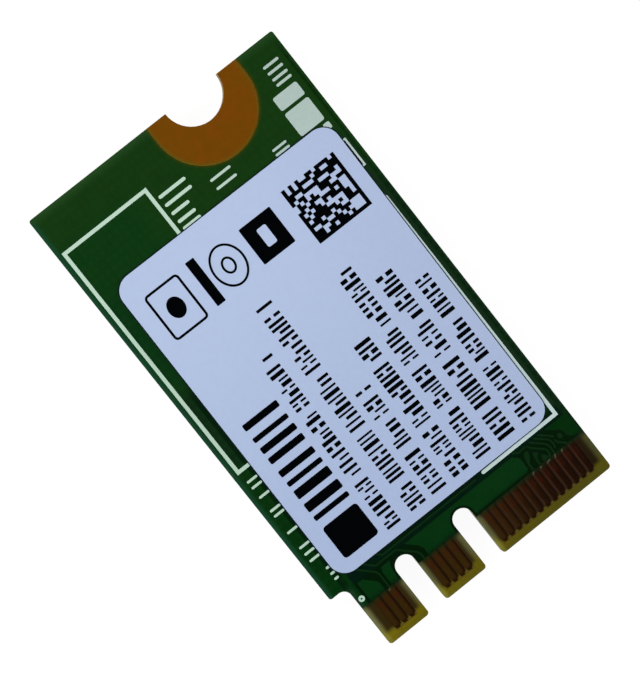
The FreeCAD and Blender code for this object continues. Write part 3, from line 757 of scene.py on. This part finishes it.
# Each row of bars: its ends across the card, the bars' places along it, and their width.
BAR_ROWS = (
    (6.3, 7.9, (3.3, 3.85), 0.19),
    (6.3, 7.3, (4.4, 4.95, 5.4), 0.19),
    (9.0, 10.2, (4.3, 4.85), 0.15),
    (12.6, 13.4, (5.1, 5.4), 0.14),
    (14.95, 15.8, (1.35, 1.75, 2.15, 2.5), 0.16),
    (0.5, 1.05, (18.2, 18.6, 19.25, 20.2, 20.55, 21.7, 22.75, 23.2, 23.65), 0.14),
    (0.95, 1.1, (24.5, 24.9, 25.25), 0.14),
)
# Each block: two opposite corners and the radius of its own corners.
BLOCKS = (
    (14.25, 2.9, 15.85, 3.75, 0.12),
    (14.25, 3.95, 15.85, 5.45, 0.12),
    (15.52, 5.65, 15.92, 6.05, 0.08),
)
RING_MIDDLE = (1.38, 27.0)
RING_RADII = (0.18, 0.18)
RING_LINE = 0.125
RING_STEPS = 24


def make_board_ink(finish):
    """Print the white ink on the coating."""
    lines = [
        stroke(LEFT_FRAME, INK_LINE),
        stroke(BRACKET, BRACKET_LINE),
        stroke(RIGHT_CORNER, INK_LINE),
    ]
    marks = [oblong(*block) for block in BLOCKS]
    for first, last, places, width in BAR_ROWS:
        marks += [stroke(((first, y), (last, y)), width) for y in places]
    ring = ellipse_ring(RING_MIDDLE, RING_RADII, RING_LINE, RING_STEPS)
    raised("board_ink_lines", lines, MASK_TOP, INK_HEIGHT, finish)
    raised("board_ink_marks", marks, MASK_TOP, INK_HEIGHT, finish)
    raised("board_ink_ring", [ring], MASK_TOP, INK_HEIGHT, finish)


# The label's place before its turn, and the dark line round it, partly adhesive and partly painted shadow.

LABEL_BOX = (1.21, 5.52, 15.79, 25.57)
LABEL_CORNER = 1.0
LABEL_CORNER_STEPS = 14
GLUE_AND_SHADOW_WIDTH = 0.06
GLUE_GAP = 0.003


def make_glue_and_shadow_line():
    """Lay the dark line just outside the label's edge, partly adhesive and partly painted shadow."""
    x0, y0, x1, y1 = LABEL_BOX
    reach = GLUE_AND_SHADOW_WIDTH + GLUE_GAP
    ring = frame_ring(
        x0 - reach, y0 - reach, x1 + reach, y1 + reach, GLUE_AND_SHADOW_WIDTH, LABEL_CORNER + reach, LABEL_CORNER_STEPS
    )
    glue_and_shadow_finish = plain_finish("glue_and_shadow", (12, 22, 23), 0.3, 0.4, 0.5, level=0.1)
    raised("glue_and_shadow_line", [ring], MASK_TOP, GLUE_AND_SHADOW_HEIGHT, glue_and_shadow_finish, label_turn())


# Black print on the label: generic strokes and plain shapes.

# Each line of print: its sides across the card, and its end along it.
TEXT_LINES = (
    (4.87, 5.77, 13.1),
    (6.48, 7.5, 11.1),
    (7.93, 8.92, 17.8),
    (9.43, 10.47, 15.8),
    (11.0, 12.0, 12.0),
    (12.58, 13.66, 13.6),
    (14.2, 15.1, 14.9),
)
TEXT_START = 25.0
TEXT_END_MARGIN = 0.3
TEXT_WIDTHS = (0.12, 0.17, 0.17, 0.24)
TEXT_GAPS = (0.12, 0.15, 0.2)
TEXT_CORNER = 0.035
FIRST_GROUP = (5, 12)
NEXT_GROUPS = (4, 12)
GROUP_GAP = 0.38
# Shares of the bars that are full, and that are full or short; the rest are split in two.
FULL_SHARE = 0.5
WHOLE_SHARE = 0.75
SHORT_START = 0.3
SPLIT_LENGTH = 0.4

HEADING_SIDES = (2.1, 4.42)
HEADING_BLOCK = (22.7, 24.8)
HEADING_BLOCK_CORNER = 0.2
HEADING_START = 22.2
HEADING_END = 15.5
HEADING_WIDTHS = (0.3, 0.4, 0.55)
HEADING_GAPS = (0.3, 0.35, 0.5)
HEADING_CORNER = 0.08

CODE_BOX = (11.45, 7.05, 15.0, 10.55)
CODE_CELLS = 16
CODE_FILL = 0.55

# Plain figures in a row: a frame with a dot, a bar, two rings, and a block with a window.
FIGURE_FRAME = (2.15, 7.0, 4.4, 9.95)
FIGURE_FRAME_LINE = 0.14
FIGURE_FRAME_CORNER = 0.25
FIGURE_DOT = ((3.275, 8.475), (0.5, 0.62), 32)
FIGURE_BAR = (5.05, 6.92, 5.6, 9.8, 0.04)
FIGURE_RINGS_MIDDLE = (6.87, 8.42)
FIGURE_RING_LINE = 0.13
FIGURE_RING_RADII = (1.0, 1.25)
FIGURE_SMALL_RING_RADII = (0.4, 0.5)
FIGURE_SMALL_RING_STEPS = 24
FIGURE_BLOCK = (8.4, 7.27, 10.5, 9.6, 0.06)
FIGURE_WINDOW = (9.15, 7.85, 9.75, 9.0, 0.1)


def bar_spans(x0, x1, kind):
    """Where one bar of a line of print runs: full, short, or split in two."""
    height = x1 - x0
    if kind < FULL_SHARE:
        return ((x0, x1),)
    if kind < WHOLE_SHARE:
        return ((x0 + SHORT_START * height, x1),)
    return ((x0, x0 + SPLIT_LENGTH * height), (x1 - SPLIT_LENGTH * height, x1))


def text_line(x0, x1, end, draw):
    """A line of print as groups of plain bars."""
    shapes = []
    y = TEXT_START
    left_in_group = draw.randint(*FIRST_GROUP)
    while y > end + TEXT_END_MARGIN:
        width = draw.choice(TEXT_WIDTHS)
        spans = bar_spans(x0, x1, draw.random())
        shapes += [oblong(low, y - width, high, y, TEXT_CORNER) for low, high in spans]
        y -= width + draw.choice(TEXT_GAPS)
        left_in_group -= 1
        if left_in_group == 0:
            left_in_group = draw.randint(*NEXT_GROUPS)
            y -= GROUP_GAP
    return shapes


def heading_shapes(draw):
    """A plain block and a row of plain bars."""
    x0, x1 = HEADING_SIDES
    first, last = HEADING_BLOCK
    shapes = [oblong(x0, first, x1, last, HEADING_BLOCK_CORNER)]
    y = HEADING_START
    while y > HEADING_END:
        width = draw.choice(HEADING_WIDTHS)
        shapes.append(oblong(x0, y - width, x1, y, HEADING_CORNER))
        y -= width + draw.choice(HEADING_GAPS)
    return shapes


def filled_runs(filled):
    """Where each run of filled cells in a row starts and ends."""
    runs = []
    start = None
    for column, on in enumerate(filled + [False]):
        if on and start is None:
            start = column
        if not on and start is not None:
            runs.append((start, column))
            start = None
    return runs


def code_shapes(draw):
    """A square of small random cells with two solid sides."""
    x0, y0, x1, y1 = CODE_BOX
    wide = (x1 - x0) / CODE_CELLS
    tall = (y1 - y0) / CODE_CELLS
    shapes = []
    for row in range(CODE_CELLS):
        filled = [draw.random() < CODE_FILL for _ in range(CODE_CELLS)]
        filled[-1] = True
        if row == CODE_CELLS - 1:
            filled = [True] * CODE_CELLS
        top = y0 + row * tall
        for start, end in filled_runs(filled):
            left, right = x0 + start * wide, x0 + end * wide
            shapes.append(polygon([(left, top), (right, top), (right, top + tall), (left, top + tall)]))
    return shapes


def figure_shapes():
    """The plain figures, without the window."""
    return [
        frame_ring(*FIGURE_FRAME, FIGURE_FRAME_LINE, FIGURE_FRAME_CORNER),
        [ellipse(*FIGURE_DOT)],
        oblong(*FIGURE_BAR),
        ellipse_ring(FIGURE_RINGS_MIDDLE, FIGURE_RING_RADII, FIGURE_RING_LINE),
        ellipse_ring(
            FIGURE_RINGS_MIDDLE, FIGURE_SMALL_RING_RADII, FIGURE_RING_LINE, FIGURE_SMALL_RING_STEPS
        ),
        oblong(*FIGURE_BLOCK),
    ]


def make_label_print(finish, paper):
    """Print the label. The window is a thin shape of paper on its block."""
    draw = random.Random(SEED)
    turn = label_turn()
    lines = []
    for x0, x1, end in TEXT_LINES:
        lines += text_line(x0, x1, end, draw)
    raised("label_print_lines", lines, LABEL_TOP, PRINT_HEIGHT, finish, turn)
    raised("label_print_heading", heading_shapes(draw), LABEL_TOP, PRINT_HEIGHT, finish, turn)
    raised("label_print_figures", figure_shapes(), LABEL_TOP, PRINT_HEIGHT, finish, turn)
    window = oblong(*FIGURE_WINDOW)
    raised("label_print_gaps", [window], LABEL_TOP + PRINT_HEIGHT, WINDOW_HEIGHT, paper, turn)
    raised("label_print_code", code_shapes(draw), LABEL_TOP, PRINT_HEIGHT, finish, turn)


# Floor, light and camera.

FLOOR_HALF = 0.5
FLOOR_DROP = 0.02 * MM
FLOOR_PALE = (0.8, 0.8, 0.8, 1)
FLOOR_FAINT = (0.1, 0.1, 0.1, 1)
FLOOR_GLOW = 0.94


def floor_material():
    """Pale where it lights the card. Where it is seen, nearly white by itself, with the shadow on top."""
    material = bpy.data.materials.new("floor")
    material.use_nodes = True
    tree = material.node_tree
    tree.nodes.clear()
    out = tree.nodes.new("ShaderNodeOutputMaterial")
    path = tree.nodes.new("ShaderNodeLightPath")
    seen = path.outputs["Is Camera Ray"]
    for ray in ("Is Glossy Ray", "Is Transmission Ray"):
        either = tree.nodes.new("ShaderNodeMath")
        either.operation = "MAXIMUM"
        tree.links.new(seen, either.inputs[0])
        tree.links.new(path.outputs[ray], either.inputs[1])
        seen = either.outputs[0]
    pale = tree.nodes.new("ShaderNodeBsdfDiffuse")
    pale.inputs["Color"].default_value = FLOOR_PALE
    faint = tree.nodes.new("ShaderNodeBsdfDiffuse")
    faint.inputs["Color"].default_value = FLOOR_FAINT
    glow = tree.nodes.new("ShaderNodeEmission")
    glow.inputs["Strength"].default_value = FLOOR_GLOW
    lifted = tree.nodes.new("ShaderNodeAddShader")
    tree.links.new(faint.outputs[0], lifted.inputs[0])
    tree.links.new(glow.outputs[0], lifted.inputs[1])
    mix = tree.nodes.new("ShaderNodeMixShader")
    tree.links.new(seen, mix.inputs[0])
    tree.links.new(pale.outputs[0], mix.inputs[1])
    tree.links.new(lifted.outputs[0], mix.inputs[2])
    tree.links.new(mix.outputs[0], out.inputs["Surface"])
    return material


def make_floor():
    """A pale floor that looks white and still takes the shadow."""
    data = bpy.data.meshes.new("floor")
    signs = ((-1, -1), (1, -1), (1, 1), (-1, 1))
    corners = [(x * FLOOR_HALF, y * FLOOR_HALF, -FLOOR_DROP) for x, y in signs]
    data.from_pydata(corners, [], [(0, 1, 2, 3)])
    floor = bpy.data.objects.new("floor", data)
    bpy.context.scene.collection.objects.link(floor)
    data.materials.append(floor_material())


# Each lamp: its name, direction from the card, distance, size and power.
LAMPS = (
    ("key", (-0.7, 0.56, 0.75), 0.2, 0.22, 0.352),
    ("fill", (0.75, -0.52, 0.8), 0.24, 0.24, 0.246),
)

# The sky is bright round the sides and dim overhead, like a light tent seen from its top opening.
SKY_LOW = 0.55
SKY_HIGH = 0.95
SKY_BRIGHT = 0.6
SKY_DIM = 0.03


def make_lamp(name, direction, distance, size, power):
    """A square soft lamp aimed at the middle of the card."""
    data = bpy.data.lights.new(name, "AREA")
    data.size = size
    data.energy = power
    lamp = bpy.data.objects.new(name, data)
    towards = Vector(direction).normalized()
    lamp.location = towards * distance
    lamp.rotation_mode = "QUATERNION"
    lamp.rotation_quaternion = towards.to_track_quat("Z", "Y")
    bpy.context.scene.collection.objects.link(lamp)


def make_sky():
    """A white sky whose strength depends on its height."""
    world = bpy.data.worlds.new("studio")
    world.use_nodes = True
    tree = world.node_tree
    background = tree.nodes["Background"]
    background.inputs["Color"].default_value = (1, 1, 1, 1)
    place = tree.nodes.new("ShaderNodeTexCoord")
    parts = tree.nodes.new("ShaderNodeSeparateXYZ")
    tree.links.new(place.outputs["Generated"], parts.inputs[0])
    level = tree.nodes.new("ShaderNodeMapRange")
    level.interpolation_type = "SMOOTHSTEP"
    tree.links.new(parts.outputs["Z"], level.inputs["Value"])
    level.inputs["From Min"].default_value = SKY_LOW
    level.inputs["From Max"].default_value = SKY_HIGH
    level.inputs["To Min"].default_value = SKY_BRIGHT
    level.inputs["To Max"].default_value = SKY_DIM
    tree.links.new(level.outputs["Result"], background.inputs["Strength"])
    bpy.context.scene.world = world


CAMERA_PLACE = Vector((-8.5315, 13.4219, 140.9984)) * MM
CAMERA_AHEAD = Vector((0.061958, -0.09237, -0.993795))
CAMERA_UP = Vector((0.622191, 0.782131, -0.033906))
CAMERA_NEAREST = 0.001
IMAGE_TALL = 674
FOCAL_PIXELS = 2600
SENSOR = 36.0


def make_camera():
    """A camera at the photograph's viewing angle."""
    data = bpy.data.cameras.new("camera")
    data.sensor_width = SENSOR
    data.lens = FOCAL_PIXELS / IMAGE_TALL * SENSOR
    data.clip_start = CAMERA_NEAREST
    camera = bpy.data.objects.new("camera", data)
    ahead = CAMERA_AHEAD.normalized()
    right = ahead.cross(CAMERA_UP).normalized()
    up = right.cross(ahead)
    turn = Matrix((right, up, -ahead)).transposed()
    camera.matrix_world = Matrix.Translation(CAMERA_PLACE) @ turn.to_4x4()
    bpy.context.scene.collection.objects.link(camera)
    bpy.context.scene.camera = camera


dressed = dress_nodes()
make_copper()
make_board_ink(white_ink_finish())
make_glue_and_shadow_line()
black_ink = plain_finish("black_ink", (1, 2, 4), 0.3, 0.25, 0.36, level=0.03)
make_label_print(black_ink, dressed["label_paper"])
make_floor()
make_sky()
for lamp in LAMPS:
    make_lamp(*lamp)
make_camera()
bpy.context.scene.view_settings.view_transform = "Standard"
